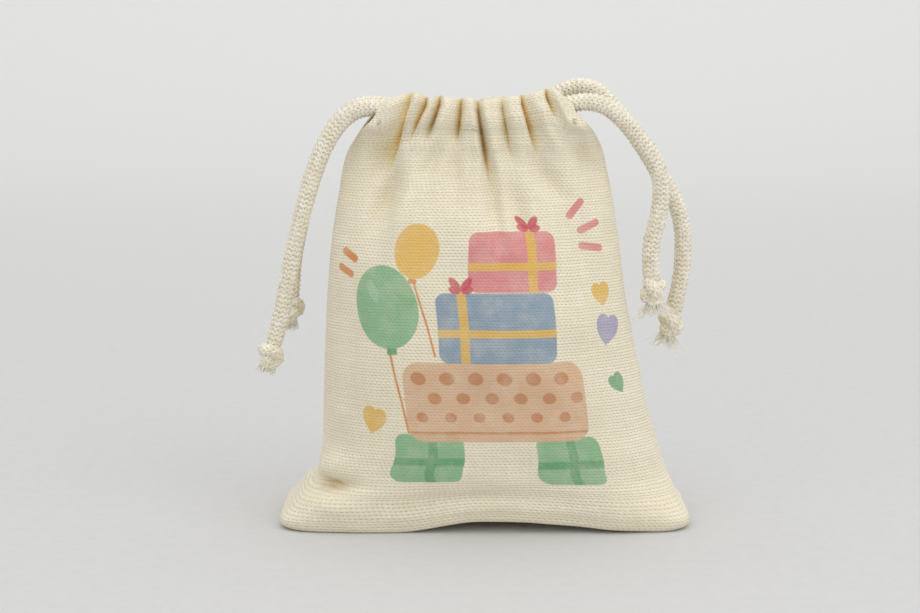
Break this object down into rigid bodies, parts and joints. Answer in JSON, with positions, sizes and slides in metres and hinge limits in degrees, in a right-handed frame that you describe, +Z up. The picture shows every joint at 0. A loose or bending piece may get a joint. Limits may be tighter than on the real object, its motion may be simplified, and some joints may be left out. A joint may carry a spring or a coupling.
{
  "type": "drawstring gift pouch",
  "caption": "Small natural cotton canvas pouch with a gathered mouth, braided drawstrings knotted at both sides and a printed parcel motif on the front.",
  "frame": {"origin": "middle of the base, on the surface the pouch stands on", "axes": "+X to the right seen from the front, -Y out of the printed front, +Z up to the gathered mouth"},
  "size_m": [0.1264, 0.0564, 0.116],
  "materials": {
    "cotton_canvas": "plain-weave natural cotton, matte",
    "cotton_cord": "soft braided cotton, slightly fuzzy",
    "sewing_thread": "twisted cotton thread"
  },
  "bodies": {
    "pouch": {"front_panel": "cotton_canvas", "back_panel": "cotton_canvas", "left_side_seam": "cotton_canvas", "right_side_seam": "cotton_canvas", "bottom_seam": "cotton_canvas", "left_seam_stitches": "sewing_thread", "right_seam_stitches": "sewing_thread", "bottom_seam_stitches": "sewing_thread"},
    "front_rim": {"front_channel": "cotton_canvas", "front_channel_stitches": "sewing_thread", "front_left_tack": "sewing_thread", "front_right_tack": "sewing_thread", "left_cord_front_loop": "cotton_cord", "right_cord_front_loop": "cotton_cord"},
    "back_rim": {"back_channel": "cotton_canvas", "back_channel_stitches": "sewing_thread", "back_left_tack": "sewing_thread", "back_right_tack": "sewing_thread", "left_cord_back_loop": "cotton_cord", "right_cord_back_loop": "cotton_cord"},
    "left_front_drawn": {"left_front_run": "cotton_cord"},
    "left_front_end": {"left_front_tail": "cotton_cord", "left_front_knot": "cotton_cord", "left_front_tuft": "cotton_cord"},
    "left_back_drawn": {"left_back_run": "cotton_cord"},
    "left_back_end": {"left_back_tail": "cotton_cord", "left_back_knot": "cotton_cord", "left_back_tuft": "cotton_cord"},
    "right_front_drawn": {"right_front_run": "cotton_cord"},
    "right_front_end": {"right_front_tail": "cotton_cord", "right_front_knot": "cotton_cord", "right_front_tuft": "cotton_cord"},
    "right_back_drawn": {"right_back_run": "cotton_cord"},
    "right_back_end": {"right_back_tail": "cotton_cord", "right_back_knot": "cotton_cord", "right_back_tuft": "cotton_cord"}
  },
  "joints": [
    {"name": "mouth_open_front", "type": "slide", "parent": "pouch", "child": "front_rim", "axis": [0, -1, 0], "range_m": [0, 0.01]},
    {"name": "mouth_open_back", "type": "slide", "parent": "pouch", "child": "back_rim", "axis": [0, 1, 0], "range_m": [0, 0.01]},
    {"name": "left_front_pull", "type": "slide", "parent": "front_rim", "child": "left_front_drawn", "axis": [-1, 0, 0], "range_m": [0, 0.02]},
    {"name": "left_front_swing", "type": "hinge", "parent": "left_front_drawn", "child": "left_front_end", "pos_m": [-0.028, -0.00755, 0.11265], "axis": [-1, 0, 0], "range_deg": [0, 40]},
    {"name": "left_back_pull", "type": "slide", "parent": "back_rim", "child": "left_back_drawn", "axis": [-1, 0, 0], "range_m": [0, 0.02]},
    {"name": "left_back_swing", "type": "hinge", "parent": "left_back_drawn", "child": "left_back_end", "pos_m": [-0.028, 0.00755, 0.11265], "axis": [1, 0, 0], "range_deg": [0, 40]},
    {"name": "right_front_pull", "type": "slide", "parent": "front_rim", "child": "right_front_drawn", "axis": [1, 0, 0], "range_m": [0, 0.02]},
    {"name": "right_front_swing", "type": "hinge", "parent": "right_front_drawn", "child": "right_front_end", "pos_m": [0.022, -0.00755, 0.11265], "axis": [-1, 0, 0], "range_deg": [0, 40]},
    {"name": "right_back_pull", "type": "slide", "parent": "back_rim", "child": "right_back_drawn", "axis": [1, 0, 0], "range_m": [0, 0.02]},
    {"name": "right_back_swing", "type": "hinge", "parent": "right_back_drawn", "child": "right_back_end", "pos_m": [0.022, 0.00755, 0.11265], "axis": [1, 0, 0], "range_deg": [0, 40]}
  ],
  "couplings": [
    {"joint": "mouth_open_back", "follows": "mouth_open_front", "ratio": 1},
    {"joint": "left_back_pull", "follows": "left_front_pull", "ratio": 1},
    {"joint": "right_back_pull", "follows": "right_front_pull", "ratio": 1}
  ]
}
